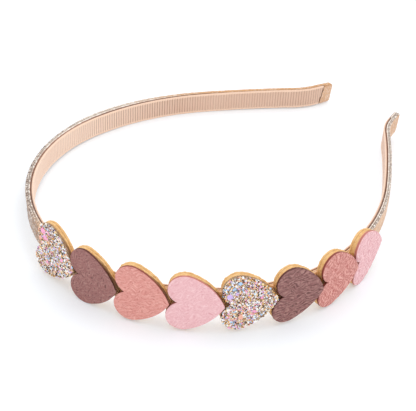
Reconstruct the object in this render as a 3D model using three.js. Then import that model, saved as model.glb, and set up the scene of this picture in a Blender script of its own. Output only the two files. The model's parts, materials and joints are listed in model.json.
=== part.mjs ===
// A hard headband lying on its edge: a narrow hoop wrapped in metallic leatherette and lined with ribbon,
// with a row of layered leather hearts glued to its outer face, each point tucked into the next notch.
// Millimetres, +Z up, resting on the plane Z = 0 with the crown of the hoop towards -Y.
import * as THREE from 'three';
import { ConvexHull } from 'three/addons/math/ConvexHull.js';

// Hoop
const BAND_WIDTH = 7.8;
const WRAP_THICKNESS = 1.6;
const WRAP_EDGE_RADIUS = 0.6;
const TAB_LENGTH = 5;
// Length of hoop over which the wrap steps up to the tab at the tip.
const TAB_RISE = 0.05;
const TIP_CORNER_RADIUS = 1.6;
const TIP_FOLD_RADIUS = 0.7;
const STATION_STEP = 4;
const ROUNDING_STEPS = 3;

// The line where wrap and ribbon meet, from the middle of the crown to one tip; the other half mirrors it.
// A negative radius bends outwards.
const HALF_HOOP = [
  { stretch: 'crown', length: 93, radius: 58 },
  { stretch: 'side', length: 46.5, radius: 87.5 },
  { stretch: 'leg', length: 37.5, radius: 315 },
  { stretch: 'flare', length: 10, radius: -24 },
  { stretch: 'tip', length: 8, radius: Infinity },
];

// The hoop sags a little below its own level behind the hearts; places along it from the middle of the crown.
const SAG_DEPTH = 1;
const SAG_STARTS = -100;
const SAG_FULL = 20;
const SAG_EASES = 90;
const SAG_ENDS = 190;

// Ribbon lining
const RIBBON_WIDTH = 7;
const RIBBON_THICKNESS = 0.6;

// Hearts
const HEART_WIDTH = 19.8;
const HEART_LENGTH = 17.3;
const LOBE_RADIUS = 5.15;
const SIDE_RADIUS = 17.5;
const BASE_THICKNESS = 1.8;
const BASE_INSET = 0.25;
const FACE_THICKNESS = 0.95;
const FACE_EDGE_BEVEL = 0.15;
const CURVE_SEGMENTS = 5;
// From the back of the lobes to the line where the flat heart meets the round hoop.
const HEART_SEAT = 6.7;
const HEART_PITCH = 15.05;
const FIRST_HEART_FROM_CROWN = -4.1;
// Glued by hand: turn in degrees lifts the point, rise lifts the whole heart above the hoop's level, and slip
// moves the glued line towards the point, which draws the point in.
const HEARTS = [
  { colour: 'glitter', turn: -12.6, rise: 2.66, slip: 4.8 },
  { colour: 'mauve', turn: -1.6, rise: 0.95, slip: 0 },
  { colour: 'rose', turn: -3.1, rise: 0.9, slip: 0 },
  { colour: 'blush', turn: -2.8, rise: 0.6, slip: 0 },
  { colour: 'glitter', turn: 0.2, rise: 0.8, slip: 0 },
  { colour: 'mauve', turn: -4.8, rise: 0.25, slip: 0 },
  { colour: 'rose', turn: -3.6, rise: 0, slip: 0 },
  { colour: 'blush', turn: 3.5, rise: 0.1, slip: 0 },
];

// Every glued joint
const GLUE_LINE = 0.2;

// The hoop lies nearly level: its underside leans less than this, in radians.
const MOST_LEAN = 0.4;

const FINISHES = {
  wrap: { color: '#c39a7c', roughness: 0.38, metalness: 0.6 },
  ribbon: { color: '#e2bba0', roughness: 0.75, metalness: 0 },
  tan: { color: '#d9a45e', roughness: 0.8, metalness: 0 },
  glitter: { color: '#cdb8a4', roughness: 0.3, metalness: 0.5 },
  mauve: { color: '#9a6c6c', roughness: 0.6, metalness: 0 },
  rose: { color: '#db9288', roughness: 0.6, metalness: 0 },
  blush: { color: '#efb8bd', roughness: 0.6, metalness: 0 },
};

const HALF_LENGTH = HALF_HOOP.reduce((sum, row) => sum + row.length, 0);
const TAB_START = HALF_LENGTH - TAB_LENGTH;
const RIBBON_FACE = GLUE_LINE + RIBBON_THICKNESS;
const HEART_BACK = WRAP_THICKNESS + GLUE_LINE;
const FACE_BACK = HEART_BACK + BASE_THICKNESS + GLUE_LINE;

function finish(name) {
  return new THREE.MeshStandardMaterial(FINISHES[name]);
}

// Place and heading on the hoop, s along it from the middle of the crown.
function hoopAt(s) {
  let x = 0;
  let y = 0;
  let heading = 0;
  let left = Math.abs(s);
  for (const { length, radius } of HALF_HOOP) {
    const run = Math.min(left, length);
    const turn = run / radius;
    const chord = turn === 0 ? run : 2 * radius * Math.sin(turn / 2);
    x += chord * Math.cos(heading + turn / 2);
    y += chord * Math.sin(heading + turn / 2);
    heading += turn;
    left -= run;
  }
  const side = s < 0 ? -1 : 1;
  return { x: side * x, y, heading: side * heading };
}

function sagAt(s) {
  const { smoothstep } = THREE.MathUtils;
  return SAG_DEPTH * (smoothstep(s, SAG_STARTS, SAG_FULL) - smoothstep(s, SAG_EASES, SAG_ENDS));
}

// A point of a section on the hoop: out is away from the head, up across the width.
function onHoop(s, out, up) {
  const { x, y, heading } = hoopAt(s);
  return new THREE.Vector3(x + out * Math.sin(heading), y - out * Math.cos(heading), up - sagAt(s));
}

// Stations from one end to the other, mirrored about the crown.
function mirrored(halfStations) {
  return [...halfStations.map((s) => -s).reverse(), ...halfStations.slice(1)];
}

function evenStations(end) {
  const count = Math.ceil(end / STATION_STEP);
  return Array.from({ length: count + 1 }, (_, i) => (end * i) / count);
}

// How far a rounded end of this radius has drawn in, at a depth from the end.
function drawnIn(depth, radius) {
  const inset = Math.max(radius - depth, 0);
  return radius - Math.sqrt(radius * radius - inset * inset);
}

// A closed skin over equal rings of points, with flat ends.
function loft(rings) {
  const size = rings[0].length;
  const triangles = [];
  for (let i = 0; i + 1 < rings.length; i += 1) {
    for (let k = 0; k < size; k += 1) {
      const next = (k + 1) % size;
      const a = i * size + k;
      const b = i * size + next;
      triangles.push(a, b + size, b, a, a + size, b + size);
    }
  }
  const last = (rings.length - 1) * size;
  for (let k = 1; k + 1 < size; k += 1) {
    triangles.push(0, k, k + 1, last, last + k + 1, last + k);
  }
  const geometry = new THREE.BufferGeometry().setFromPoints(rings.flat());
  geometry.setIndex(triangles);
  geometry.computeVertexNormals();
  return geometry;
}

// Section of the wrapped hoop: flat inside, rounded along both outer edges, drawn in at the tip.
function wrapSection(s) {
  const depth = HALF_LENGTH - Math.abs(s);
  const fold = drawnIn(depth, TIP_FOLD_RADIUS);
  const half = BAND_WIDTH / 2 - drawnIn(depth, TIP_CORNER_RADIUS);
  const inside = Math.abs(s) > TAB_START ? fold - RIBBON_FACE : 0;
  const outside = WRAP_THICKNESS - fold;
  const ring = [[inside, half], [inside, -half]];
  for (const edge of [-1, 1]) {
    for (let i = 0; i <= ROUNDING_STEPS; i += 1) {
      const share = edge < 0 ? i / ROUNDING_STEPS : 1 - i / ROUNDING_STEPS;
      const angle = (share * Math.PI) / 2;
      const out = outside - WRAP_EDGE_RADIUS * (1 - Math.sin(angle));
      const up = edge * (half - WRAP_EDGE_RADIUS * (1 - Math.cos(angle)));
      ring.push([out, up]);
    }
  }
  return ring.map(([out, up]) => onHoop(s, out, up));
}

function bandWrap() {
  const half = evenStations(TAB_START);
  half.push(TAB_START + TAB_RISE);
  for (let i = 0; i <= ROUNDING_STEPS; i += 1) {
    const angle = ((i / ROUNDING_STEPS) * Math.PI) / 2;
    half.push(HALF_LENGTH - TIP_CORNER_RADIUS * (1 - Math.sin(angle)));
  }
  return loft(mirrored(half).map(wrapSection));
}

function ribbonSection(s) {
  const half = RIBBON_WIDTH / 2;
  const corners = [[-RIBBON_FACE, half], [-RIBBON_FACE, -half], [-GLUE_LINE, -half], [-GLUE_LINE, half]];
  return corners.map(([out, up]) => onHoop(s, out, up));
}

function ribbonLining() {
  return loft(mirrored(evenStations(TAB_START - GLUE_LINE)).map(ribbonSection));
}

// Heart outline lying along x, point towards +x: two lobe arcs met by two longer side arcs.
// The inset draws every arc in towards its centre.
function heartShape(inset) {
  const lobeX = LOBE_RADIUS - HEART_SEAT;
  const lobeY = HEART_WIDTH / 2 - LOBE_RADIUS;
  const toTip = new THREE.Vector2(HEART_LENGTH - LOBE_RADIUS, -lobeY);
  // The side arc runs on smoothly from the lobe and ends at the point.
  const reach = SIDE_RADIUS - LOBE_RADIUS;
  const along = (reach ** 2 - SIDE_RADIUS ** 2 + toTip.lengthSq()) / (2 * toTip.length());
  const swing = toTip.angle() - Math.acos(along / reach);
  const sideX = lobeX + reach * Math.cos(swing);
  const sideY = lobeY + reach * Math.sin(swing);
  const lobe = LOBE_RADIUS - inset;
  const side = SIDE_RADIUS - inset;
  const notch = Math.PI + Math.asin(lobeY / lobe);
  const join = swing - Math.PI;
  const tip = Math.asin(-sideY / side);
  const shape = new THREE.Shape();
  shape.absarc(lobeX, -lobeY, lobe, -notch, -join, false);
  shape.absarc(sideX, -sideY, side, -join, -tip, false);
  shape.absarc(sideX, sideY, side, tip, join, false);
  shape.absarc(lobeX, lobeY, lobe, join, notch, false);
  return shape;
}

function heartLayer(shape, thickness, bevel) {
  const options = { depth: thickness, bevelEnabled: false, curveSegments: CURVE_SEGMENTS };
  if (bevel > 0) {
    Object.assign(options, {
      depth: thickness - 2 * bevel,
      bevelEnabled: true,
      bevelThickness: bevel,
      bevelSize: bevel,
      bevelOffset: -bevel,
      bevelSegments: 1,
    });
  }
  return new THREE.ExtrudeGeometry(shape, options).translate(0, 0, bevel);
}

function named(name, geometry, finishName) {
  const mesh = new THREE.Mesh(geometry, finish(finishName));
  mesh.name = name;
  return mesh;
}

// One heart on its seat: a tan layer against the hoop and a coloured layer over it.
function heart({ colour, turn, rise, slip }, index) {
  const seat = new THREE.Group();
  const { x, y, heading } = hoopAt(FIRST_HEART_FROM_CROWN + index * HEART_PITCH + slip);
  seat.position.set(x, y, rise);
  seat.rotation.z = heading;
  const baseLayer = heartLayer(heartShape(BASE_INSET), BASE_THICKNESS, 0);
  const base = named(`heart_base_${index + 1}`, baseLayer, 'tan');
  base.position.set(-slip, -HEART_BACK, 0);
  const faceLayer = heartLayer(heartShape(0), FACE_THICKNESS, FACE_EDGE_BEVEL);
  const face = named(`heart_face_${index + 1}`, faceLayer, colour);
  face.position.set(-slip, -FACE_BACK, 0);
  for (const layer of [base, face]) {
    layer.rotation.set(Math.PI / 2, 0, THREE.MathUtils.degToRad(turn));
    seat.add(layer);
  }
  return seat;
}

function worldPoints(mesh) {
  const places = mesh.geometry.attributes.position;
  return Array.from({ length: places.count }, (_, i) => {
    const point = new THREE.Vector3().fromBufferAttribute(places, i);
    return point.applyMatrix4(mesh.matrixWorld);
  });
}

// Centre of volume of closed meshes, from the signed wedges under their triangles.
function centreOf(meshes) {
  const centre = new THREE.Vector3();
  let volume = 0;
  for (const mesh of meshes) {
    const points = worldPoints(mesh);
    const order = mesh.geometry.index ? mesh.geometry.index.array : points.keys().toArray();
    for (let i = 0; i < order.length; i += 3) {
      const [a, b, c] = [points[order[i]], points[order[i + 1]], points[order[i + 2]]];
      const wedge = a.dot(b.clone().cross(c)) / 6;
      volume += wedge;
      centre.addScaledVector(a.clone().add(b).add(c), wedge / 4);
    }
  }
  return centre.divideScalar(volume);
}

// The face of the hull that holds the part up: the nearly level underside below the centre.
function restingFace(points, centre) {
  const hull = new ConvexHull().setFromPoints(points);
  const below = new THREE.Ray(centre, new THREE.Vector3());
  const hit = new THREE.Vector3();
  return hull.faces.find((face) => {
    below.direction.copy(face.normal);
    const corners = [face.edge.tail().point, face.edge.head().point, face.edge.next.head().point];
    return face.normal.z < -Math.cos(MOST_LEAN) && below.intersectTriangle(...corners, false, hit);
  });
}

// Lays the part on Z = 0 as it comes to rest, with the middle of its box over the origin.
function layDown(part) {
  part.updateMatrixWorld(true);
  const meshes = [];
  part.traverse((item) => item.isMesh && meshes.push(item));
  const face = restingFace(meshes.flatMap(worldPoints), centreOf(meshes));
  part.quaternion.setFromUnitVectors(face.normal, new THREE.Vector3(0, 0, -1));
  part.updateMatrixWorld(true);
  const box = new THREE.Box3().setFromObject(part, true);
  const middle = box.getCenter(new THREE.Vector3());
  part.position.set(-middle.x, -middle.y, -box.min.z);
  part.updateMatrixWorld(true);
}

const headband = new THREE.Group();
headband.add(named('band_wrap', bandWrap(), 'wrap'), named('ribbon_lining', ribbonLining(), 'ribbon'));
HEARTS.forEach((row, index) => headband.add(heart(row, index)));
layDown(headband);

export default headband;
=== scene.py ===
import json
import math

import bpy
import numpy as np
from mathutils import Matrix, Vector


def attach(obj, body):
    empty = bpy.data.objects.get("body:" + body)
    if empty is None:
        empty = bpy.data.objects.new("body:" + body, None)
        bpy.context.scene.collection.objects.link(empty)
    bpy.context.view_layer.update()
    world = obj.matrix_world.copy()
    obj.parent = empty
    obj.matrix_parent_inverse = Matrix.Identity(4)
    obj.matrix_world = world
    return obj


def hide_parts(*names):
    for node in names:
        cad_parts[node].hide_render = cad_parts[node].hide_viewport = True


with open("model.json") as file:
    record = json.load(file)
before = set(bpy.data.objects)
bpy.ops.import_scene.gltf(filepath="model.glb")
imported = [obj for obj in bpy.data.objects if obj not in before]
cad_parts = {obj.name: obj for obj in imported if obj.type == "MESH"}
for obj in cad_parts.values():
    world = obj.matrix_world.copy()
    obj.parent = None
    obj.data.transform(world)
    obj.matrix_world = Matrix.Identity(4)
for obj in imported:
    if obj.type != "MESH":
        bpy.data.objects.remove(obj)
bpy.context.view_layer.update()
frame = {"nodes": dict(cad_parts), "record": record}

# Sizes are millimetres, as in the solids; every mesh is made in metres.
MM = 0.001
# Points on each rounded corner of a section and on each rounded edge of a layer
CORNER_POINTS = 5
# Shortest and longest of the waves in a ripple, as a share of its wavelength
WAVE_SPREAD = (0.7, 1.4)

# Hoop
BAND_WIDTH = 7.8
HALF_BAND = BAND_WIDTH / 2
WRAP_THICKNESS = 1.6
WRAP_OUTER_RADIUS = 0.6
WRAP_INNER_RADIUS = 0.3
# The outside is set back a little and bulges between the rims.
WRAP_SET_BACK = 0.08
WRAP_BULGE = 0.1
# Heights of the waves and the dimples in the skin, and the share of both that shows on the rims
WRAP_WAVES = 0.01
WRAP_DIMPLES = 0.02
RIM_UNEVEN = 0.5
# A rim starts and is full this far from the edge of the band.
RIM_STARTS = 0.55
RIM_FULL = 0.2
# Grooves along the upper rim: the measure that carries each, how far from the ribbon side, and its size.
RIM_GROOVES = [
    {"measure": "ribbon_side", "at": 0.1, "width": 0.14, "depth": 0.12},
    {"measure": "folds", "at": 0.8, "width": 0.12, "depth": 0.12},
]
# The wrap is loose along its upper edge: places along the hoop and how far it stands off there. It does so
# fully from this far below the edge, and less and less over the last length before a tip.
LOOSE_EDGE = [
    (-190, 0.3),
    (-150, 0.4),
    (-125, 0.9),
    (-108, 1.5),
    (-94, 1.4),
    (-80, 0.65),
    (-45, 0.35),
    (-10, 0),
]
LOOSE_TOP = 0.4
LOOSE_FROM_TIP = 9
HALF_HOOP = {
    "crown": {"length": 93, "radius": 58},
    "side": {"length": 46.5, "radius": 87.5},
    "leg": {"length": 37.5, "radius": 315},
    "flare": {"length": 10, "radius": -24},
    "tip": {"length": 8, "radius": math.inf},
}
HALF_LENGTH = sum(row["length"] for row in HALF_HOOP.values())
# The hoop sags below its own level behind the hearts; places along it from the middle of the crown.
SAG_DEPTH = 1
SAG_STARTS = -100
SAG_FULL = 20
SAG_EASES = 90
SAG_ENDS = 190

# Tabs folded inwards at the tips: each edge is slanted and ragged, and the tab rises over a short way there.
TAB_LENGTH = 5.6
TAB_START = HALF_LENGTH - TAB_LENGTH
TAB_SLANT = 0.25
TAB_RAGGED = 0.06
TAB_RISE = (-0.05, 0.12)
# Apart by this much, the ragged edges of the two tips are unlike.
TIPS_APART = 40
# The dark seam at that edge: its width, and the share of the thickness over which it fades out
SEAM_WIDTH = 0.28
SEAM_DEPTH = 0.3
TIP_CORNER_RADIUS = 1.6
TIP_FOLD_RADIUS = 0.7
# How far the lower corner of each tip is drawn back, and the place where that begins
TIP_SLANTS = {"plain": 0.9, "hearts": 2.3}
SLANT_STARTS = TAB_START + 0.5
# Rings along the wrap: even steps, closer ones at the seam and on the tab, and some more round the tip
WRAP_STEP = 0.42
SEAM_REACH = 1.5
SEAM_RINGS = 40
TAB_REACH = 1.7
TAB_STEP = 0.25
TIP_RINGS = 12

# Looks along the hoop, by place: where each one starts, is full, eases and ends, or only starts and is full
# FAR_BEND is where the wrap and the ribbon part, with painted shadow in the gap.
FAR_BEND = (-155, -135, -100, -80)
# PLAIN_OUTSIDE is where painted shade darkens the outside of the wrap.
PLAIN_OUTSIDE = (-175, -50, -45, 20)
BESIDE_HEARTS = (-75, -50, -30, -10)
BEHIND_HEARTS = (-30, -10, 104, 114)
# PAST_FAR_LEG is where the painted silvery reflection on the rim begins.
PAST_FAR_LEG = (-150, -95)
DASHED_RIM = (-100, -70)
NEAR_LEG = (100, 120)
# The same for the ribbon, by distance from the middle of the crown
# RIBBON_TURNS and RIBBON_ENDS deepen the painted shade between the ribs.
RIBBON_TURNS = (75, 100, 120, 145)
# PAST_CROWN ends the painted sheen on the crown.
PAST_CROWN = (85, 135)
RIBBON_ENDS = (155, 180)

# Ribbon lining
GLUE_LINE = 0.2
RIBBON_WIDTH = 7.7
RIBBON_THICKNESS = 0.6
RIBBON_FACE = GLUE_LINE + RIBBON_THICKNESS
RIBBON_LENGTH = TAB_START - GLUE_LINE
RIBBON_INNER_RADIUS = 0.22
RIBBON_OUTER_RADIUS = 0.1
# The face of the ribbon swells and wanders a little, and starts this far from its back and from its front.
RIBBON_SWELL = 0.04
RIBBON_WANDER = 0.03
RIBBON_MARGIN = 0.1
# From this share of its length on, the ribbon follows the slanted edge of the tab.
RIBBON_SLANTS = 0.985
# Depths between which the side of the ribbon turns dark beside the wrap, as painted shadow between ribbon and
# wrap
RIBBON_TUCKED = (-0.55, -0.35)
RIB_PITCH = 1.06
RIB_HEIGHT = 0.24
RIB_SHARPNESS = 1.4
RIB_SAMPLES = 6
# Woven edges, and the share by which they flatten the ribs
SELVEDGE_WIDTH = 0.85
SELVEDGE_BLEND = 0.25
SELVEDGE_RISE = 0.06
SELVEDGE_CALM = 0.7

# Corners of a solid that agree to so many digits, in metres, are one point.
POINT_DIGITS = 7

# Hearts, measured from the back of the tan layer
HEART_WIDTH = 19.8
HEART_LENGTH = 17.3
HEART_SEAT = 6.7
HEART_POINT = HEART_LENGTH - HEART_SEAT
LOBE_RADIUS = 5.15
SIDE_RADIUS = 17.5
HEART_MIDDLE = np.array([0.6, 0.0])
NOTCH = np.array([-4.0, 0.0])
NOTCH_REACH = 1.8
LOBE_STEPS = 72
SIDE_STEPS = 52
# The smallest ring round the middle of a layer, as a share of its outline, and the rings on its back
SMALLEST_RING = 0.02
BACK_RINGS = 9

# Tan layer; its wall starts at this share of the outline.
BASE_THICKNESS = 1.8
BASE_INSET = 0.1
BASE_EDGE_RADIUS = 0.28
BASE_WALL = 0.96
PLY_GROOVE = {"at": 0.85, "width": 0.12, "depth": 0.08, "waver": 0.08}
FIBRE_RISE = {"wall": 0.05, "flat": 0.02}
# Shade under the face towards the point: from where to where, how far below it, and how much it widens
SHADED_POINT = (-2, 8)
SHADE_STARTS = 0.3
SHADE_FULL = 0.1
SHADE_WIDENS = 0.4
# Heights between which the wall turns dark in the notch, as painted shade
NOTCH_SHADE = (0.2, 1.2)

# Coloured layer
FACE_THICKNESS = 0.95
FACE_BACK = BASE_THICKNESS + GLUE_LINE
FACE_FRONT = FACE_BACK + FACE_THICKNESS
FACE_EDGE_RADIUS = 0.17
FACE_SWAY = 0.05
# Depths below the front where its cut edge turns dark and then raw, which is deeper towards the point, where
# the deeper dark is partly painted shade under the lifting point
DYED_EDGE = (0.08, 0.2)
RAW_EDGE = (0.8, 0.9)
RAW_DEEPER = 0.1
RAW_POINT = (-1, 8)
EDGE_RAGGED = 0.03
# How far the grain wanders, and how far apart the hearts lie in it, so that no two are alike
GRAIN_WANDER = 0.35
GRAIN_APART = 40
# Grain of this height shows its full tone.
FULL_RELIEF = 0.04

# One row for each heart from the crown to the tip: the share of its deeper dye, the angle in degrees by which
# the streaks of its grain turn, the height of its folds and pebbles, and how far its underside lifts off the
# tan layer at the point.
HEARTS = [
    {"colour": "glitter", "dye": 0, "grain": 0, "folds": 0, "pebbles": 0.02, "lift": 0.15},
    {"colour": "mauve", "dye": 0.1, "grain": 35, "folds": 0.012, "pebbles": 0.015, "lift": 0.75},
    {"colour": "rose", "dye": 0.2, "grain": 12, "folds": 0.012, "pebbles": 0.012, "lift": 0.55},
    {"colour": "blush", "dye": 0.3, "grain": 40, "folds": 0.008, "pebbles": 0.012, "lift": 0.25},
    {"colour": "glitter", "dye": 0, "grain": 0, "folds": 0, "pebbles": 0.02, "lift": 0.15},
    {"colour": "mauve", "dye": 0.6, "grain": 8, "folds": 0.03, "pebbles": 0.016, "lift": 0.2},
    {"colour": "rose", "dye": 0.9, "grain": 78, "folds": 0.022, "pebbles": 0.032, "lift": 0.25},
    {"colour": "blush", "dye": 0.1, "grain": 70, "folds": 0.038, "pebbles": 0.034, "lift": 0.15},
]

# Glitter: sizes run from the smallest flake over a spread, with small ones more common at a higher lean.
FLAKE_COUNT = 3200
FLAKE_SIDES = 6
FLAKE_THICKNESS = 0.04
FLAKE_SMALLEST = 0.39
FLAKE_SPREAD = 0.58
FLAKE_LEAN = 1.4
FLAKE_TILT = 0.26
# Some flakes are drawn smaller, down to this share.
FLAKE_SHRINK = 0.75
# Depth of the glitter, the share of it at which the lowest flakes lie, and its distance from the outline
GLITTER_DEPTH = 0.14
GLITTER_LOWEST = 0.02
GLITTER_MARGIN = 0.1
# Places drawn for each flake, because some fall outside the outline
SPOTS_PER_FLAKE = 3
# Flakes above this size are shards, which lie flatter and on top.
SHARD_SIZE = 1
SHARD_TILT = 0.06
SHARD_RISE = 0.05
# The heart that each shard is on, where, how far across, and its place among the colours
SHARDS = [
    {"heart": 1, "x": -4.6, "y": 5.6, "size": 2.4, "hue": 0.86},
    {"heart": 1, "x": -3.4, "y": 3.8, "size": 2.1, "hue": 0.86},
    {"heart": 1, "x": -2.6, "y": 6.4, "size": 1.5, "hue": 0.86},
    {"heart": 1, "x": -5.4, "y": 2.4, "size": 1.7, "hue": 0.81},
    {"heart": 1, "x": -1.0, "y": -4.8, "size": 1.6, "hue": 0.86},
    {"heart": 1, "x": 5.0, "y": 0.8, "size": 1.5, "hue": 0.86},
    {"heart": 1, "x": 1.2, "y": 3.0, "size": 1.2, "hue": 0.91},
    {"heart": 5, "x": -3.2, "y": 5.4, "size": 1.7, "hue": 0.97},
    {"heart": 5, "x": -4.4, "y": 2.8, "size": 2.1, "hue": 0.91},
    {"heart": 5, "x": -2.2, "y": 3.6, "size": 1.5, "hue": 0.91},
    {"heart": 5, "x": -0.6, "y": -5.2, "size": 2.3, "hue": 0.81},
    {"heart": 5, "x": 3.2, "y": -3.6, "size": 1.4, "hue": 0.86},
    {"heart": 5, "x": -1.6, "y": 7.4, "size": 1.3, "hue": 0.97},
    {"heart": 5, "x": 5.4, "y": 1.4, "size": 1.2, "hue": 0.86},
]

# Camera, turned about the part as the photograph was taken
CAMERA_AZIMUTH = 41.07
CAMERA_ELEVATION = 36.53
CAMERA_ROLL = 4.67
CAMERA_DISTANCE = 344.7
CAMERA_AIM = (6.58, -20.81, 8.11)
CAMERA_LENS = 88.76

# Studio: half the width of the floor in metres, how much it glows, and the light from all round
FLOOR_HALF = 2.0
FLOOR_GLOW = 0.2
WORLD_STRENGTH = 1.08
WHITE = (1, 1, 1, 1)


def paint(red, green, blue):
    """A colour given in 0 to 255 as seen on a screen, as linear light with full alpha."""
    shares = np.array([red, green, blue]) / 255
    light = np.where(shares <= 0.04045, shares / 12.92, ((shares + 0.055) / 1.055) ** 2.4)
    return (*light.tolist(), 1.0)


# Materials
class Shade:
    """A socket in a finish. Arithmetic on it adds Math nodes."""

    def __init__(self, finish, socket):
        self.finish = finish
        self.socket = socket

    def out(self, name):
        return Shade(self.finish, self.socket.node.outputs[name])

    def math(self, operation, *others):
        return self.finish.math(operation, self, *others)

    def __add__(self, other):
        return self.math("ADD", other)

    def __radd__(self, other):
        return self.math("ADD", other)

    def __rsub__(self, other):
        return self.finish.math("SUBTRACT", other, self)

    def __mul__(self, other):
        return self.math("MULTIPLY", other)

    def __rmul__(self, other):
        return self.math("MULTIPLY", other)

    def between(self, low, high):
        """0 below low, 1 above high and a smooth rise from one to the other."""
        settings = {"interpolation_type": "SMOOTHSTEP"}
        return self.finish.node("MapRange", settings, {"Value": self, "From Min": low, "From Max": high})

    def within(self, start, full, ease, end):
        """0 before start, 1 from full to ease and 0 after end, with a smooth rise and fall."""
        return self.between(start, full) * (1 - self.between(ease, end))


class Finish:
    """A material and the nodes that make it."""

    def __init__(self, name):
        self.material = bpy.data.materials.new(name)
        self.material.use_nodes = True
        self.tree = self.material.node_tree
        self.tree.nodes.clear()

    def node(self, kind, settings=None, inputs=None, output=0):
        """Any node by its type, with its settings and the values or links of its sockets."""
        made = self.tree.nodes.new("ShaderNode" + kind)
        for name, value in (settings or {}).items():
            if name == "stops":
                set_stops(made.color_ramp, value)
            else:
                setattr(made, name, value)
        for name, value in (inputs or {}).items():
            if isinstance(value, Shade):
                self.tree.links.new(value.socket, made.inputs[name])
            else:
                made.inputs[name].default_value = value
        return Shade(self, made.outputs[output]) if made.outputs else None

    def math(self, operation, *values):
        return self.node("Math", {"operation": operation}, dict(enumerate(values)))

    def measured(self, name, output="Fac"):
        """A number or vector that the mesh carries."""
        return self.node("Attribute", {"attribute_name": name}).out(output)

    def stretched(self, place, factors):
        return self.node("VectorMath", {"operation": "MULTIPLY"}, {0: place, 1: factors})

    def noise(self, place, scale, detail, roughness=0.55, distortion=0.0):
        inputs = {"Vector": place, "Scale": scale, "Detail": detail, "Roughness": roughness}
        return self.node("TexNoise", {}, {**inputs, "Distortion": distortion})

    def cells(self, place, scale):
        return self.node("TexVoronoi", {}, {"Vector": place, "Scale": scale})

    def mix(self, share, first, second):
        """A blend of two colours. Sockets of a Mix node share their names, so they are picked by number."""
        return self.node("Mix", {"data_type": "RGBA"}, {0: share, 6: first, 7: second}, output=2)

    def bump(self, height, distance, strength):
        inputs = {"Height": height, "Distance": distance * MM, "Strength": strength}
        return self.node("Bump", {}, inputs)

    def surface(self, inputs):
        shader = self.node("BsdfPrincipled", {}, inputs)
        self.node("OutputMaterial", {}, {"Surface": shader})
        return self.material


def set_stops(ramp, stops):
    """Rows of a ramp are a place from 0 to 1 and a colour; colours hold until the next stop."""
    ramp.interpolation = "CONSTANT"
    while len(ramp.elements) < len(stops):
        ramp.elements.new(1.0)
    for element, (place, colour) in zip(ramp.elements, stops):
        element.position = place
        element.color = colour


def wrap_finish():
    """Rose gold leatherette with a speckled grain; a painted reflection makes its upper rim silvery beside
    the hearts.
    """
    skin = Finish("rose_gold_leatherette")
    place = skin.measured("place", "Vector")
    along = skin.node("SeparateXYZ", {}, {"Vector": place})
    out = along.out("Z")
    upper = along.out("Y").between(-0.5, 0.5)
    rim = skin.measured("rim") * upper
    ribbon_side = skin.measured("ribbon_side")
    folds = skin.measured("folds")
    seam = skin.measured("seam")
    grain = skin.cells(skin.stretched(place, (1.6, 1.9, 1.9)), scale=1.0)
    pits = grain.out("Distance").between(0.3, 0.7)
    cell = skin.node("SeparateColor", {}, {"Color": grain.out("Color")})
    cloud = skin.noise(place, scale=0.22, detail=3.0)
    far = 1 - along.between(*PAST_FAR_LEG)
    bare = 1 - along.within(*BEHIND_HEARTS)
    # Painted reflection: the upper rim turns silvery from past the far leg on, except behind the hearts.
    painted_silver_reflection = rim * (1 - far) * bare
    dashed = painted_silver_reflection * out.between(0.85, 1.05) * along.between(*DASHED_RIM)
    dashed = dashed * (1 - 0.35 * along.between(*NEAR_LEG))
    # Painted shade: the outside of the wrap on the plain side is darker and browner.
    shaded = (1 - rim) * along.within(*PLAIN_OUTSIDE)
    folded = 1 - out.between(0.1, 0.4)
    # The inner part of the silvery rim is darker beside the first hearts.
    dimmer_inner_rim = painted_silver_reflection * along.within(*BESIDE_HEARTS) * (1 - out.between(0.6, 1.0))
    bent = along.within(*FAR_BEND)
    gold = skin.mix(cloud.between(0.3, 0.7), paint(210, 158, 112), paint(232, 190, 150))
    gold_in_painted_shade = skin.mix(shaded * 0.8, gold, paint(146, 102, 68))
    pressed = skin.mix(folded * 0.6, gold_in_painted_shade, paint(222, 182, 152))
    edged = skin.mix(rim * far * 0.7, pressed, paint(204, 152, 98))
    silver_reflected = skin.mix(painted_silver_reflection * 0.85, edged, paint(216, 206, 196))
    rim_dimmed = skin.mix(dimmer_inner_rim * 0.55, silver_reflected, paint(112, 92, 78))
    # Painted glints: white flecks on the grain cells, most in the painted shade and on the silvery rim.
    painted_glint = cell.between(0.6, 0.8) * (0.2 + 0.6 * shaded + 0.5 * painted_silver_reflection)
    with_painted_glints = skin.mix(painted_glint, rim_dimmed, paint(255, 250, 242))
    # Painted shade in the crease along the middle of the rim, deeper on the silvery rim.
    lined = skin.mix(folds * (0.25 + 0.6 * painted_silver_reflection), with_painted_glints, paint(96, 76, 62))
    # Painted shade in the groove beside the ribbon, deeper on the silvery rim.
    grooved = skin.mix(ribbon_side * (0.4 + 0.6 * painted_silver_reflection), lined, paint(146, 84, 44))
    # Painted shadow in the gap where the wrap and the ribbon part along the far bend.
    painted_gap_shadow = skin.mix(ribbon_side * bent * 0.7, grooved, paint(70, 44, 30))
    # Dark pits of the grain, deeper as painted shade on the plain outside and in the dashes on the rim, and
    # the dark seam.
    dark = skin.math("MAXIMUM", pits * (0.18 + 0.62 * shaded + 0.82 * dashed), seam)
    return skin.surface({
        "Base Color": skin.mix(dark, painted_gap_shadow, paint(92, 62, 44)),
        "Metallic": (0.4 + 0.2 * painted_silver_reflection) * (1 - ribbon_side) * (1 - dark),
        "Roughness": 0.3 + 0.2 * cloud,
        "Normal": skin.bump((1 - pits) + 0.3 * cell, distance=0.06, strength=0.8),
    })


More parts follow.
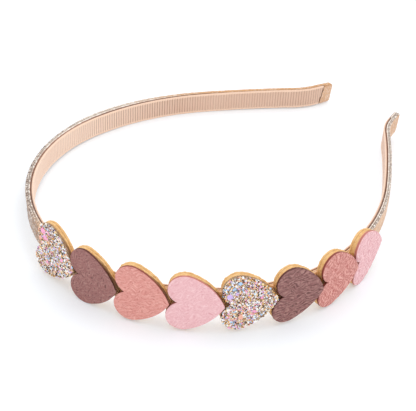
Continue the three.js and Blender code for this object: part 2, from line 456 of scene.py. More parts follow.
def ribbon_finish():
    """Peach grosgrain, paler at its woven edges, with painted shade between its ribs where the hoop turns and
    a painted sheen on the crown.
    """
    cloth = Finish("peach_grosgrain")
    place = cloth.measured("place", "Vector")
    rib = cloth.measured("rib")
    selvedge = cloth.measured("selvedge")
    tucked = cloth.measured("tucked")
    along = cloth.node("SeparateXYZ", {}, {"Vector": place})
    reach = along.math("ABSOLUTE")
    painted_crown_sheen = 1 - reach.between(*PAST_CROWN)
    turning = reach.within(*RIBBON_TURNS)
    ending = reach.between(*RIBBON_ENDS)
    bent = along.within(*FAR_BEND)
    cloud = cloth.noise(place, scale=0.12, detail=2.0)
    threads = cloth.noise(cloth.stretched(place, (1.5, 7.0, 1.0)), scale=1.0, detail=2.0)
    crest = cloth.mix(cloud, paint(215, 180, 158), paint(223, 192, 171))
    # Painted sheen: the ribbon is paler on the crown.
    smooth = cloth.mix(painted_crown_sheen * 0.9, crest, paint(243, 216, 196))
    # Painted shade between the ribs, deeper where the hoop turns and towards the ends.
    valley = (1 - rib.between(0.02, 0.5)) * (0.34 + 0.46 * turning + 0.24 * ending)
    ribbed = cloth.mix(valley, smooth, paint(142, 96, 74))
    edged = cloth.mix(selvedge * 0.8, ribbed, paint(246, 214, 189))
    # Painted shadow along the side of the ribbon beside the wrap, deeper on the far bend.
    lined = cloth.mix(tucked * (0.6 + 0.4 * bent), edged, paint(150, 88, 46))
    return cloth.surface({
        "Base Color": cloth.mix(threads.between(0.35, 0.75) * 0.12, lined, paint(168, 122, 98)),
        "Roughness": 0.62 + 0.14 * threads,
        "Sheen Weight": 0.5,
        "Sheen Roughness": 0.35,
        "Normal": cloth.bump(threads, distance=0.05, strength=0.6),
    })


def tan_finish():
    """Raw tan leather: fibres along its cut edge, a groove between its plies, painted shade at the point and
    in the notch.
    """
    hide = Finish("raw_tan_leather")
    place = hide.measured("place", "Vector")
    wall = hide.measured("edge")
    ply = hide.measured("ply")
    shaded = hide.measured("shaded")
    cloud = hide.noise(place, scale=0.35, detail=3.0)
    fibres = hide.noise(hide.stretched(place, (0.7, 0.7, 4.5)), scale=1.0, detail=4.0, roughness=0.65)
    nap = hide.noise(place, scale=2.4, detail=3.0)
    body = hide.mix(cloud.between(0.3, 0.7), paint(222, 172, 106), paint(238, 196, 136))
    streaked = hide.mix(fibres.between(0.45, 0.7) * wall * 0.55, body, paint(178, 122, 66))
    pale = hide.mix((1 - fibres.between(0.3, 0.46)) * wall * 0.6, streaked, paint(244, 214, 166))
    plied = hide.mix(ply * 0.55, pale, paint(156, 102, 54))
    napped = hide.mix(nap.between(0.5, 0.7) * 0.45, plied, paint(244, 210, 160))
    return hide.surface({
        "Base Color": hide.mix(shaded * 0.85, napped, paint(96, 52, 34)),
        "Roughness": 0.78 + 0.12 * nap,
        "Normal": hide.bump(fibres + 0.5 * nap, distance=0.14, strength=0.7),
    })


def leather_finish(name, colours, shine):
    """Dyed leather: a painted highlight on the crests of its grain and painted shade in its creases, dark
    along its cut edge.
    """
    hide = Finish(name)
    grain = hide.measured("grain", "Vector")
    relief = hide.measured("relief")
    dye = hide.measured("dye")
    edge = hide.measured("edge")
    raw = hide.measured("raw")
    cloud = hide.noise(grain, scale=0.16, detail=3.0)
    long_grain = hide.stretched(grain, (0.55, 1.7, 1.0))
    short_grain = hide.stretched(grain, (1.4, 2.0, 1.0))
    streaks = hide.noise(long_grain, scale=1.0, detail=5.0, roughness=0.7, distortion=0.8)
    fine = hide.noise(short_grain, scale=1.0, detail=4.0, roughness=0.75)
    tone = hide.mix(dye + 0.7 * (0.5 - cloud), paint(*colours["body"]), paint(*colours["deep"]))
    mottled = hide.mix(streaks.between(0.45, 0.65) * 0.6, tone, paint(*colours["pale"]))
    # Painted highlight on the crests of the grain and painted shade in its creases.
    crested = hide.mix(relief.between(0.1, 1.2) * 0.65, mottled, paint(*colours["pale"]))
    creased = hide.mix((0 - relief).between(0.1, 1.2) * 0.75, crested, paint(*colours["crease"]))
    pored = hide.mix(fine.between(0.5, 0.66) * 0.42, creased, paint(*colours["crease"]))
    lined = hide.mix(edge, pored, paint(*colours["edge"]))
    return hide.surface({
        "Base Color": hide.mix(raw, lined, paint(*colours["raw"])),
        "Roughness": shine + 0.16 * streaks,
        "Specular IOR Level": 0.35,
        "Normal": hide.bump(0.6 * streaks + 0.6 * fine, distance=0.14, strength=0.8),
    })


LEATHERS = {
    "mauve": {
        "colours": {"body": (151, 99, 94), "deep": (126, 82, 81), "pale": (178, 134, 126),
                    "crease": (96, 58, 56), "edge": (88, 42, 36), "raw": (212, 160, 98)},
        "shine": 0.5,
    },
    "rose": {
        "colours": {"body": (219, 148, 138), "deep": (196, 126, 119), "pale": (240, 184, 172),
                    "crease": (178, 98, 90), "edge": (134, 62, 50), "raw": (222, 168, 106)},
        "shine": 0.5,
    },
    "blush": {
        "colours": {"body": (232, 183, 186), "deep": (228, 172, 177), "pale": (248, 212, 213),
                    "crease": (210, 146, 153), "edge": (186, 112, 100), "raw": (236, 200, 156)},
        "shine": 0.52,
    },
}

# Colours of the flakes, each from its own place among them up to the next
FLAKE_COLOURS = [
    (0.00, paint(255, 253, 250)),
    (0.22, paint(216, 212, 208)),
    (0.3, paint(246, 218, 172)),
    (0.43, paint(224, 166, 86)),
    (0.56, paint(130, 90, 56)),
    (0.68, paint(54, 40, 36)),
    (0.78, paint(238, 176, 154)),
    (0.84, paint(246, 164, 202)),
    (0.89, paint(206, 180, 234)),
    (0.94, paint(168, 206, 242)),
]
DUST_COLOURS = [
    (0.0, paint(150, 118, 88)),
    (0.4, paint(208, 188, 160)),
    (0.7, paint(104, 76, 54)),
]


def glue_finish():
    """The glue under the glitter, full of fine dust."""
    glue = Finish("glitter_glue")
    place = glue.measured("grain", "Vector")
    edge = glue.measured("edge")
    raw = glue.measured("raw")
    dust = glue.cells(place, scale=3.6)
    tint = glue.node("SeparateColor", {}, {"Color": dust.out("Color")})
    speck = glue.node("ValToRGB", {"stops": DUST_COLOURS}, {"Fac": tint})
    lined = glue.mix(edge * 0.6, speck, paint(150, 112, 78))
    return glue.surface({
        "Base Color": glue.mix(raw, lined, paint(218, 170, 112)),
        "Roughness": 0.35 + 0.3 * dust.out("Distance"),
        "Normal": glue.bump(dust.out("Distance"), distance=0.1, strength=0.8),
    })


def flake_finish():
    """Bright foil flakes in mixed colours; the pink, lilac and blue ones are less metallic."""
    foil = Finish("glitter_flakes")
    hue = foil.measured("hue")
    return foil.surface({
        "Base Color": foil.node("ValToRGB", {"stops": FLAKE_COLOURS}, {"Fac": hue}),
        "Metallic": 0.5 - 0.35 * hue.between(0.72, 0.8),
        "Roughness": 0.22,
    })


def floor_finish():
    """White paper that glows a little, as the ground of the photograph is almost burnt out."""
    paper = Finish("white_paper")
    fibre = paper.noise(paper.node("TexCoord").out("Object"), scale=40.0, detail=2.0)
    return paper.surface({
        "Base Color": paper.mix(fibre, paint(224, 229, 234), paint(228, 233, 238)),
        "Roughness": 0.9,
        "Emission Color": WHITE,
        "Emission Strength": FLOOR_GLOW,
    })


# Meshes
def ripples(places, wavelength, seed, waves=24):
    """Smooth noise of about unit height: sine waves in mixed directions and lengths, the same in each run."""
    draw = np.random.default_rng(seed)
    total = np.zeros(places.shape[:-1])
    for _ in range(waves):
        heading = draw.normal(size=places.shape[-1])
        turns = 2 * math.pi / (wavelength * draw.uniform(*WAVE_SPREAD))
        heading *= turns / np.linalg.norm(heading)
        total += np.sin(places @ heading + draw.uniform(0, 2 * math.pi))
    return total * math.sqrt(2 / waves)


def smooth_rise(values, low, high):
    share = np.clip((values - low) / (high - low), 0, 1)
    return share * share * (3 - 2 * share)


def bell(values, middle, width):
    """1 at the middle, falling away on both sides."""
    return np.exp(-(((values - middle) / width) ** 2))


def ring_faces(rows, columns):
    """Quads over rows of closed rings."""
    here = np.arange(rows * columns).reshape(rows, columns)
    beside = np.roll(here, -1, axis=1)
    return np.stack([here[:-1], beside[:-1], beside[1:], here[1:]], -1).reshape(-1, 4)


def closed_skin(rings):
    """Points and outward faces over rows of closed rings, with a middle point in each end."""
    rows, columns = rings.shape[:2]
    points = np.concatenate([rings.reshape(-1, 3), rings[0].mean(0)[None], rings[-1].mean(0)[None]])
    here = np.arange(columns)
    beside = np.roll(here, -1)
    last = (rows - 1) * columns
    quads = ring_faces(rows, columns)
    start = np.stack([beside, here, np.full(columns, rows * columns)], -1)
    end = np.stack([here + last, beside + last, np.full(columns, rows * columns + 1)], -1)
    triangles = np.concatenate([quads[:, :3], quads[:, [0, 2, 3]], start, end])
    first, second, third = points[triangles].transpose(1, 0, 2)
    step = 1 if np.sum(first * np.cross(second, third)) > 0 else -1
    return points, [face[::step] for group in (quads, start, end) for face in group.tolist()]


def with_ends(values):
    """Values of the rings, with those of the middle point in each end."""
    flat = values.reshape(values.shape[0] * values.shape[1], *values.shape[2:])
    ends = [values[0].mean(0)[None], values[-1].mean(0)[None]]
    return np.concatenate([flat, *ends])


def make_piece(name, points, faces, material, measures, sharp=50):
    """A mesh that rides with the part; where it rests it is pressed flat on the surface."""
    points[:, 2] = np.maximum(points[:, 2], 0)
    mesh = bpy.data.meshes.new(name)
    mesh.from_pydata(points.tolist(), [], faces)
    for label, values in measures.items():
        if values.ndim == 2:
            mesh.attributes.new(label, "FLOAT_VECTOR", "POINT").data.foreach_set("vector", values.ravel())
        else:
            mesh.attributes.new(label, "FLOAT", "POINT").data.foreach_set("value", values)
    mesh.materials.append(material)
    mesh.shade_smooth()
    mesh.set_sharp_from_angle(angle=math.radians(sharp))
    piece = bpy.data.objects.new(name, mesh)
    bpy.context.scene.collection.objects.link(piece)
    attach(piece, "root")
    return piece


# Hoop
def sag_at(s):
    return SAG_DEPTH * (smooth_rise(s, SAG_STARTS, SAG_FULL) - smooth_rise(s, SAG_EASES, SAG_ENDS))


def hoop_axes():
    """Middle of the crown and the hoop's own axes, from the three seats for the head in the record."""
    seats = {mount["name"]: mount for mount in frame["record"]["mounts"]}
    crown = Vector(seats["crown_seat"]["pos_m"])
    inward = Vector(seats["crown_seat"]["axis"])
    plain_tip = Vector(seats["plain_side_tip"]["pos_m"])
    hearts_tip = Vector(seats["hearts_side_tip"]["pos_m"])
    up = (hearts_tip - plain_tip).cross(inward).normalized()
    sideways = inward.cross(up)
    middle = crown + (up * float(sag_at(0)) - inward * RIBBON_FACE) * MM
    return np.array(middle), np.array([sideways, inward, up])


HOOP_ORIGIN, HOOP_AXES = hoop_axes()


def on_hoop(s, out, up):
    """Points on the hoop: s along it from the middle of the crown, out from the head, up across its width."""
    left = np.abs(s)
    x = np.zeros_like(left)
    y = np.zeros_like(left)
    heading = np.zeros_like(left)
    for row in HALF_HOOP.values():
        run = np.minimum(left, row["length"])
        turn = run / row["radius"]
        chord = run * np.sinc(turn / (2 * math.pi))
        x += chord * np.cos(heading + turn / 2)
        y += chord * np.sin(heading + turn / 2)
        heading += turn
        left = left - run
    side = np.where(s < 0, -1, 1)
    level = up - sag_at(s)
    local = np.stack([side * (x + out * np.sin(heading)), y - out * np.cos(heading), level], -1)
    return (local * MM) @ HOOP_AXES + HOOP_ORIGIN


def rounded_section(half, inside, outside, inner_radius, outer_radius, steps):
    """A closed section as out, up rows: a long rectangle with rounded corners, its sides cut into steps."""
    corners = [
        (inside, half, inner_radius, math.pi, math.pi / 2),
        (outside, half, outer_radius, math.pi / 2, 0),
        (outside, -half, outer_radius, 0, -math.pi / 2),
        (inside, -half, inner_radius, -math.pi / 2, -math.pi),
    ]
    arcs = []
    for out, up, radius, start, end in corners:
        angles = np.linspace(start, end, CORNER_POINTS)
        centre_out = out + radius * np.sign(outside + inside - 2 * out)
        centre_up = up - radius * np.sign(up)
        arcs.append(np.stack([centre_out + radius * np.cos(angles), centre_up + radius * np.sin(angles)], -1))
    ring = []
    sides = ("rim", "outer", "rim", "inner")
    for index, (arc, side) in enumerate(zip(arcs, sides)):
        following = arcs[(index + 1) % len(arcs)][0]
        gap = np.linalg.norm(following - arc[-1])
        shares = np.linspace(0, 1, max(2, round(gap / steps[side]) + 1))[1:-1, None]
        ring += [arc, arc[-1] + (following - arc[-1]) * shares]
    return np.concatenate(ring)


def drawn_in(depth, radius):
    """How far a rounded end has drawn in, at a depth from the end."""
    inset = np.maximum(radius - depth, 0)
    return radius - np.sqrt(radius * radius - inset * inset)


def tab_edge(up, side):
    """Where the folded tab ends and the ribbon begins, a little slanted and ragged."""
    spread = np.stack([up, side * np.ones_like(up) * TIPS_APART], -1)
    ragged = TAB_RAGGED * ripples(spread, wavelength=1.6, seed=7)
    return TAB_START + TAB_SLANT * up * np.sign(-side) + ragged


def wrap_rings():
    """Places of the rings along the hoop, closer together at the tabs and round the tips."""
    length = np.arange(0, TAB_START - SEAM_REACH, WRAP_STEP)
    seam = np.linspace(TAB_START - SEAM_REACH, TAB_START + SEAM_REACH, SEAM_RINGS)
    tab = np.arange(TAB_START + TAB_REACH, HALF_LENGTH - TIP_CORNER_RADIUS, TAB_STEP)
    tip = HALF_LENGTH - TIP_CORNER_RADIUS * (1 - np.sin(np.linspace(0, math.pi / 2, TIP_RINGS)))
    half = np.concatenate([length, seam, tab, tip])
    return np.concatenate([-half[:0:-1], half])


def band_wrap(material):
    """The hoop in its wrap: grooves along the upper rim, a loose upper edge and a folded tab at each tip."""
    steps = {"rim": 0.1, "outer": 0.45, "inner": 0.45}
    section = rounded_section(HALF_BAND, 0, WRAP_THICKNESS, WRAP_INNER_RADIUS, WRAP_OUTER_RADIUS, steps)
    s, out, up = np.broadcast_arrays(wrap_rings()[:, None], section[None, :, 0], section[None, :, 1])
    depth = HALF_LENGTH - np.abs(s)
    fold = drawn_in(depth, TIP_FOLD_RADIUS)
    narrowing = 1 - drawn_in(depth, TIP_CORNER_RADIUS) / HALF_BAND
    past_seam = np.abs(s) - tab_edge(up, np.sign(s))
    inside = (fold - RIBBON_FACE) * smooth_rise(past_seam, *TAB_RISE)
    outside = WRAP_THICKNESS - fold
    on_rim = smooth_rise(np.abs(up), HALF_BAND - RIM_STARTS, HALF_BAND - RIM_FULL)
    upper_rim = on_rim * (up > 0)
    grooves = {}
    sunk = np.zeros_like(out)
    for row in RIM_GROOVES:
        shape = bell(out, row["at"], row["width"]) * upper_rim
        grooves[row["measure"]] = with_ends(shape)
        sunk = sunk + row["depth"] * shape
    share = out / WRAP_THICKNESS
    seam = bell(past_seam, 0, SEAM_WIDTH) * smooth_rise(-share, -SEAM_DEPTH, 0)
    place = np.stack([s, up, out], -1)
    waves = WRAP_WAVES * ripples(place * (0.5, 1, 1), wavelength=2.2, seed=11)
    uneven = waves + WRAP_DIMPLES * ripples(place, wavelength=0.8, seed=12)
    bulge = WRAP_BULGE * (1 - (up / HALF_BAND) ** 2)
    loose = np.interp(s, *np.transpose(LOOSE_EDGE)) * smooth_rise(up, 0, HALF_BAND - LOOSE_TOP)
    loose = loose * smooth_rise(depth, 0, LOOSE_FROM_TIP)
    lift = share * (bulge + uneven + loose) - WRAP_SET_BACK * share
    wide = up * narrowing - np.sign(up) * on_rim * (sunk - RIM_UNEVEN * uneven)
    cut = np.where(s < 0, TIP_SLANTS["plain"], TIP_SLANTS["hearts"])
    below_top = 0.5 - up / BAND_WIDTH
    slant = cut * below_top * smooth_rise(np.abs(s), SLANT_STARTS, HALF_LENGTH)
    rings = on_hoop(s - np.sign(s) * slant, inside + (outside - inside) * share + lift, wide)
    points, faces = closed_skin(rings)
    measures = {
        "place": with_ends(place),
        "rim": with_ends(on_rim),
        "seam": with_ends(seam),
        **grooves,
    }
    piece = make_piece("band_wrap_skin", points, faces, material, measures)
    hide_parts("band_wrap")


def ribbon_lining(material):
    """Grosgrain with a rounded rib across the width at every pitch and smooth woven edges."""
    half = RIBBON_WIDTH / 2
    radii = (RIBBON_INNER_RADIUS, RIBBON_OUTER_RADIUS)
    steps = {"rim": 0.2, "outer": 2.5, "inner": 0.32}
    section = rounded_section(half, -RIBBON_FACE, -GLUE_LINE, *radii, steps)
    ribs = round(RIBBON_LENGTH / RIB_PITCH)
    s = np.linspace(-1, 1, 2 * ribs * RIB_SAMPLES + 1)[:, None]
    s, out, up = np.broadcast_arrays(s, section[None, :, 0], section[None, :, 1])
    share = np.abs(s)
    slanted = (tab_edge(up, np.sign(s)) - TAB_START) * smooth_rise(share, RIBBON_SLANTS, 1)
    along = np.sign(s) * (share * RIBBON_LENGTH + slanted)
    phase = (along / RIB_PITCH) % 1
    rib = np.sin(math.pi * phase) ** RIB_SHARPNESS
    selvedge_starts = half - SELVEDGE_WIDTH
    selvedge = smooth_rise(np.abs(up), selvedge_starts, selvedge_starts + SELVEDGE_BLEND)
    facing = smooth_rise(-out, GLUE_LINE + RIBBON_MARGIN, RIBBON_FACE - RIBBON_MARGIN)
    relief = RIB_HEIGHT * (rib - 1) * (1 - SELVEDGE_CALM * selvedge) + SELVEDGE_RISE * selvedge
    flat = np.stack([along, up], -1)
    wander = RIBBON_WANDER * ripples(flat * (0.15, 0.4), wavelength=1.0, seed=21)
    rings = on_hoop(along, out - facing * (relief + RIBBON_SWELL), up + facing * wander)
    points, faces = closed_skin(rings)
    measures = {
        "place": with_ends(np.stack([along, up, out], -1)),
        "rib": with_ends(rib),
        "selvedge": with_ends(selvedge * facing),
        "tucked": with_ends(smooth_rise(out, *RIBBON_TUCKED)),
    }
    piece = make_piece("ribbon_grosgrain", points, faces, material, measures)
    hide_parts("ribbon_lining")


# Hearts
def node_points(name):
    """The corners of a solid, each once."""
    corners = np.array([vertex.co for vertex in frame["nodes"][name].data.vertices])
    return np.unique(corners.round(POINT_DIGITS), axis=0)


def heart_seat(number):
    """Origin and axes of a heart, read from its two solids: to the point, across, and out of the face."""
    face = node_points(f"heart_face_{number}")
    base = node_points(f"heart_base_{number}")
    middle = face.mean(0)
    before = node_points(f"heart_face_{max(number - 1, 1)}").mean(0)
    after = node_points(f"heart_face_{min(number + 1, len(HEARTS))}").mean(0)
    outward = np.linalg.svd(face - middle)[2][2]
    outward *= np.sign(outward @ (middle - base.mean(0)))
    point = face[np.argmax(face @ (after - before))] - middle
    point -= outward * (point @ outward)
    along = point / np.linalg.norm(point)
    origin = middle + point - along * HEART_POINT * MM
    origin += outward * ((base @ outward).min() - origin @ outward)
    return origin, np.array([along, np.cross(outward, along), outward])


def heart_outline(inset):
    """Outline as x, y rows, from the notch round one lobe to the point and back round the other."""
    lobe_x = LOBE_RADIUS - HEART_SEAT
    lobe_y = HEART_WIDTH / 2 - LOBE_RADIUS
    to_tip = np.array([HEART_LENGTH - LOBE_RADIUS, -lobe_y])
    span = np.linalg.norm(to_tip)
    reach = SIDE_RADIUS - LOBE_RADIUS
    along = (reach**2 - SIDE_RADIUS**2 + span**2) / (2 * span)
    swing = math.atan2(to_tip[1], to_tip[0]) - math.acos(along / reach)
    side_x = lobe_x + reach * math.cos(swing)
    side_y = lobe_y + reach * math.sin(swing)
    lobe = LOBE_RADIUS - inset
    side = SIDE_RADIUS - inset
    join = swing + math.pi
    around = np.linspace(math.pi + math.asin(lobe_y / lobe), join, LOBE_STEPS)
    down = np.linspace(join, math.asin(-side_y / side), SIDE_STEPS)[1:]
    lobe_arc = np.stack([lobe_x + lobe * np.cos(around), lobe_y + lobe * np.sin(around)], -1)
    side_arc = np.stack([side_x + side * np.cos(down), side_y + side * np.sin(down)], -1)
    upper = np.concatenate([lobe_arc, side_arc])
    return np.concatenate([upper, upper[-2:0:-1] * (1, -1)])


def heart_rings(rows):
    """Rings of x, y, z for rows of inset, share of the way out from the middle, and height."""
    rings = []
    for inset, share, height in rows:
        flat = HEART_MIDDLE + (heart_outline(inset) - HEART_MIDDLE) * share
        rings.append(np.column_stack([flat, np.full(len(flat), height)]))
    return np.array(rings)


def layer_rows(back, front, radius, top_rings, wall_rings):
    """Rows for a flat layer with rounded edges, from the middle of its front to the middle of its back."""
    bends = np.linspace(0, math.pi / 2, CORNER_POINTS)[1:]
    rows = [(radius, share, front) for share in np.linspace(SMALLEST_RING, 1, top_rings)]
    rows += [(radius * (1 - math.sin(a)), 1, front - radius * (1 - math.cos(a))) for a in bends]
    rows += [(0, 1, z) for z in np.linspace(front - radius, back + radius, wall_rings)[1:]]
    rows += [(radius * (1 - math.cos(a)), 1, back + radius * (1 - math.sin(a))) for a in bends]
    rows += [(radius, share, back) for share in np.linspace(1, SMALLEST_RING, BACK_RINGS)[1:]]
    return np.array(rows)


def seated(local, seat):
    """Points of a heart where it sits on the part, in metres."""
    origin, axes = seat
    return (local * MM) @ axes + origin


def in_notch(local):
    """1 at the bottom of the notch, fading out along both lobes."""
    return np.exp(-np.sum(((local[..., :2] - NOTCH) / NOTCH_REACH) ** 2, -1))


def heart_base(number, seat, material):
    """Tan layer of two plies, its cut edge a little uneven and grooved between the plies."""
    rows = layer_rows(0, FACE_BACK, BASE_EDGE_RADIUS, top_rings=10, wall_rings=16)
    rows[:, 0] += BASE_INSET
    local = heart_rings(rows)
    wall = smooth_rise(rows[:, 1], BASE_WALL, 1)[:, None] * np.ones(local.shape[:2])
    waver = PLY_GROOVE["waver"] * ripples(local[..., :2], wavelength=7, seed=100 + number)
    height = local[..., 2] + waver
    ply = bell(height, PLY_GROOVE["at"], PLY_GROOVE["width"]) * wall
    # Painted shade under the face, widening towards the point, and in the notch.
    near_point = smooth_rise(local[..., 0], *SHADED_POINT)
    widened = height + SHADE_WIDENS * near_point
    shaded = smooth_rise(widened, FACE_BACK - SHADE_STARTS, FACE_BACK - SHADE_FULL) * near_point
    shaded = np.maximum(shaded, in_notch(local) * smooth_rise(height, *NOTCH_SHADE))
    fibre = ripples(local * (1, 1, 3), wavelength=1.3, seed=120 + number)
    outward = local[..., :2] - HEART_MIDDLE
    outward = outward / np.linalg.norm(outward, axis=-1, keepdims=True)
    push = wall * (FIBRE_RISE["wall"] * fibre - PLY_GROOVE["depth"] * ply)
    local[..., :2] += outward * push[..., None]
    local[..., 2] += FIBRE_RISE["flat"] * fibre * (1 - wall)
    points, faces = closed_skin(seated(local, seat))
    measures = {
        "place": with_ends(local),
        "edge": with_ends(wall),
        "ply": with_ends(ply),
        "shaded": with_ends(shaded),
    }
    piece = make_piece(f"heart_tan_{number}", points, faces, material, measures)
    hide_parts(f"heart_base_{number}")


def heart_face(number, row, seat, material, sunk=0.0):
    """Top layer: dyed leather with raised grain, its underside lifting off the tan towards the point."""
    front = FACE_FRONT - sunk
    local = heart_rings(layer_rows(FACE_BACK, front, FACE_EDGE_RADIUS, top_rings=56, wall_rings=6))
    flat = local[..., :2]
    turn = math.radians(row["grain"])
    swing = np.array([[math.cos(turn), -math.sin(turn)], [math.sin(turn), math.cos(turn)]])
    wander_x = ripples(flat, wavelength=5, seed=180 + number)
    wander_y = ripples(flat, wavelength=4, seed=190 + number)
    wander = np.stack([wander_x, wander_y], -1)
    grain = flat @ swing + GRAIN_WANDER * wander + GRAIN_APART * number
    top = smooth_rise(local[..., 2], front - FACE_EDGE_RADIUS, front)
    folds = ripples(grain * (0.3, 1.0), wavelength=0.75, seed=200 + number)
    pebbles = ripples(grain * (0.8, 1.0), wavelength=0.7, seed=220 + number)
    relief = (row["folds"] * folds + row["pebbles"] * pebbles) * top
    sway = FACE_SWAY * ripples(flat, wavelength=9, seed=240 + number)
    height = np.clip((local[..., 2] - FACE_BACK) / FACE_THICKNESS, 0, 1)
    lift = row["lift"] * smooth_rise(flat[..., 0], 0, HEART_POINT) * (1 - height)
    depth = front - local[..., 2]
    # The dark edge reaches deeper towards the point, partly as painted shade, and fills the notch as painted
    # shade.
    raw_depth = depth - RAW_DEEPER * smooth_rise(flat[..., 0], *RAW_POINT)
    raw = smooth_rise(raw_depth, *RAW_EDGE) * (1 - in_notch(local))
    edge = smooth_rise(depth, *DYED_EDGE) - raw
    ragged = EDGE_RAGGED * ripples(local, wavelength=1.1, seed=260 + number) * (edge + raw)
    local[..., 2] += relief + sway * top + lift
    local[..., :2] += ragged[..., None]
    points, faces = closed_skin(seated(local, seat))
    measures = {
        "grain": with_ends(np.concatenate([grain, local[..., 2:]], -1)),
        "dye": with_ends(np.full(raw.shape, float(row["dye"]))),
        "edge": with_ends(edge),
        "raw": with_ends(raw),
        "relief": with_ends(relief / FULL_RELIEF),
    }
    name = f"heart_{row['colour']}_{number}"
    piece = make_piece(name, points, faces, material, measures)
    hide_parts(f"heart_face_{number}")


# Glitter
def scattered_spots(draw, count):
    """Random places inside the heart's outline."""
    outline = heart_outline(0) - HEART_MIDDLE
    angles = np.arctan2(outline[:, 1], outline[:, 0])
    order = np.argsort(angles)
    reach = np.linalg.norm(outline, axis=1)[order]
    low = (-HEART_SEAT, -HEART_WIDTH / 2)
    high = (HEART_POINT, HEART_WIDTH / 2)
    spots = draw.uniform(low, high, (SPOTS_PER_FLAKE * count, 2))
    offset = spots - HEART_MIDDLE
    limit = np.interp(np.arctan2(offset[:, 1], offset[:, 0]), angles[order], reach, period=2 * math.pi)
    return spots[np.linalg.norm(offset, axis=1) < limit - GLITTER_MARGIN][:count]


def plate_faces(count):
    """Faces of plates whose upper corners come before their lower ones."""
    ring = range(FLAKE_SIDES)
    below = [corner + FLAKE_SIDES for corner in ring]
    beside = [(corner + 1) % FLAKE_SIDES for corner in ring]
    plate = [list(ring), below[::-1]]
    plate += [[below[i], below[beside[i]], beside[i], i] for i in ring]
    starts = range(0, 2 * FLAKE_SIDES * count, 2 * FLAKE_SIDES)
    return [[start + corner for corner in face] for start in starts for face in plate]


def glitter_flakes(number, seat, material):
    """Six-sided flakes strewn over the glue, each a thin plate tilted its own way."""
    draw = np.random.default_rng(300 + number)
    spots = scattered_spots(draw, FLAKE_COUNT)
    strewn = len(spots)
    sizes = FLAKE_SMALLEST + FLAKE_SPREAD * draw.uniform(0, 1, strewn) ** FLAKE_LEAN
    hues = draw.uniform(0, 1, strewn)
    shards = [row for row in SHARDS if row["heart"] == number]
    spots = np.concatenate([spots, [(row["x"], row["y"]) for row in shards]])
    sizes = np.concatenate([sizes, [row["size"] for row in shards]])
    hues = np.concatenate([hues, [row["hue"] for row in shards]])
    count = len(spots)
    large = sizes > SHARD_SIZE
    heights = FACE_FRONT - GLITTER_DEPTH + draw.uniform(GLITTER_LOWEST, 1, count) * GLITTER_DEPTH
    heights[large] = FACE_FRONT + SHARD_RISE
    tilt = np.where(large, SHARD_TILT, FLAKE_TILT)[:, None] * draw.normal(size=(count, 2))
    normal = np.column_stack([tilt, np.ones(count)])
    normal /= np.linalg.norm(normal, axis=1, keepdims=True)
    spin = draw.uniform(0, 2 * math.pi, count)
    first = np.column_stack([np.cos(spin), np.sin(spin), np.zeros(count)])
    first -= normal * np.sum(first * normal, axis=1, keepdims=True)
    first /= np.linalg.norm(first, axis=1, keepdims=True)
    second = np.cross(normal, first)
    angles = np.arange(FLAKE_SIDES)[None, :, None] * 2 * math.pi / FLAKE_SIDES
    spokes = np.cos(angles) * first[:, None] + np.sin(angles) * second[:, None]
    shrink = draw.uniform(FLAKE_SHRINK, 1, (count, 1, 1))
    middle = np.column_stack([spots, heights])[:, None]
    top = middle + spokes * shrink * sizes[:, None, None] / 2
    bottom = top - normal[:, None] * FLAKE_THICKNESS
    local = np.concatenate([top, bottom], 1)
    points = seated(local.reshape(-1, 3), seat)
    measures = {"hue": np.repeat(hues, 2 * FLAKE_SIDES)}
    faces = plate_faces(count)
    make_piece(f"glitter_flakes_{number}", points, faces, material, measures, sharp=20)


def make_hearts():
    tan = tan_finish()
    glue = glue_finish()
    flakes = flake_finish()
    skins = {colour: leather_finish(f"{colour}_leather", **look) for colour, look in LEATHERS.items()}
    for number, row in enumerate(HEARTS, 1):
        seat = heart_seat(number)
        heart_base(number, seat, tan)
        if row["colour"] == "glitter":
            heart_face(number, row, seat, glue, sunk=GLITTER_DEPTH)
            glitter_flakes(number, seat, flakes)
        else:
            heart_face(number, row, seat, skins[row["colour"]])


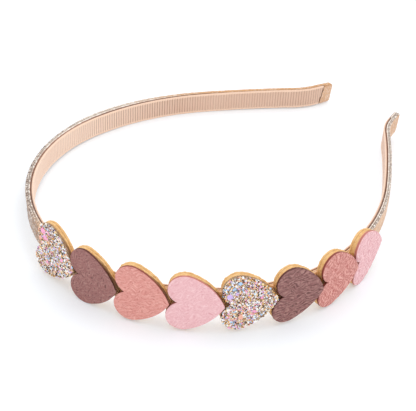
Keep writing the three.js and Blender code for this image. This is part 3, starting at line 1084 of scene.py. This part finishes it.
# Studio
def direction(azimuth, elevation):
    """Outward from the part, in degrees: azimuth turns from the front towards +X, elevation rises."""
    turn = math.radians(azimuth)
    rise = math.radians(elevation)
    return Vector((math.sin(turn) * math.cos(rise), -math.cos(turn) * math.cos(rise), math.sin(rise)))


def make_floor():
    mesh = bpy.data.meshes.new("floor")
    corners = [(x * FLOOR_HALF, y * FLOOR_HALF, 0) for x, y in ((-1, -1), (1, -1), (1, 1), (-1, 1))]
    mesh.from_pydata(corners, [], [(0, 1, 2, 3)])
    mesh.materials.append(floor_finish())
    floor = bpy.data.objects.new("floor", mesh)
    bpy.context.scene.collection.objects.link(floor)


def make_light(name, azimuth, elevation, distance, size, power):
    """A square soft light that faces the part from this side."""
    towards = direction(azimuth, elevation)
    lamp = bpy.data.lights.new(name, "AREA")
    lamp.size = size
    lamp.energy = power
    light = bpy.data.objects.new(name, lamp)
    light.location = towards * distance
    light.rotation_euler = towards.to_track_quat("Z", "Y").to_euler()
    bpy.context.scene.collection.objects.link(light)


def make_studio():
    make_floor()
    world = bpy.data.worlds.new("studio")
    world.use_nodes = True
    background = world.node_tree.nodes["Background"]
    background.inputs["Color"].default_value = WHITE
    background.inputs["Strength"].default_value = WORLD_STRENGTH
    bpy.context.scene.world = world
    bpy.context.scene.view_settings.view_transform = "Standard"
    make_light("window", azimuth=210, elevation=60, distance=1.0, size=1.2, power=3.2)


def make_camera():
    roll = math.radians(CAMERA_ROLL)
    back = direction(CAMERA_AZIMUTH, CAMERA_ELEVATION)
    level = direction(CAMERA_AZIMUTH + 90, 0)
    right = level * math.cos(roll) + back.cross(level) * math.sin(roll)
    axes = Matrix((right, back.cross(right), back)).transposed()
    lens = bpy.data.cameras.new("camera")
    lens.lens = CAMERA_LENS
    camera = bpy.data.objects.new("camera", lens)
    place = (Vector(CAMERA_AIM) + back * CAMERA_DISTANCE) * MM
    camera.matrix_world = Matrix.Translation(place) @ axes.to_4x4()
    bpy.context.scene.collection.objects.link(camera)
    bpy.context.scene.camera = camera


make_camera()
make_studio()
band_wrap(wrap_finish())
ribbon_lining(ribbon_finish())
make_hearts()
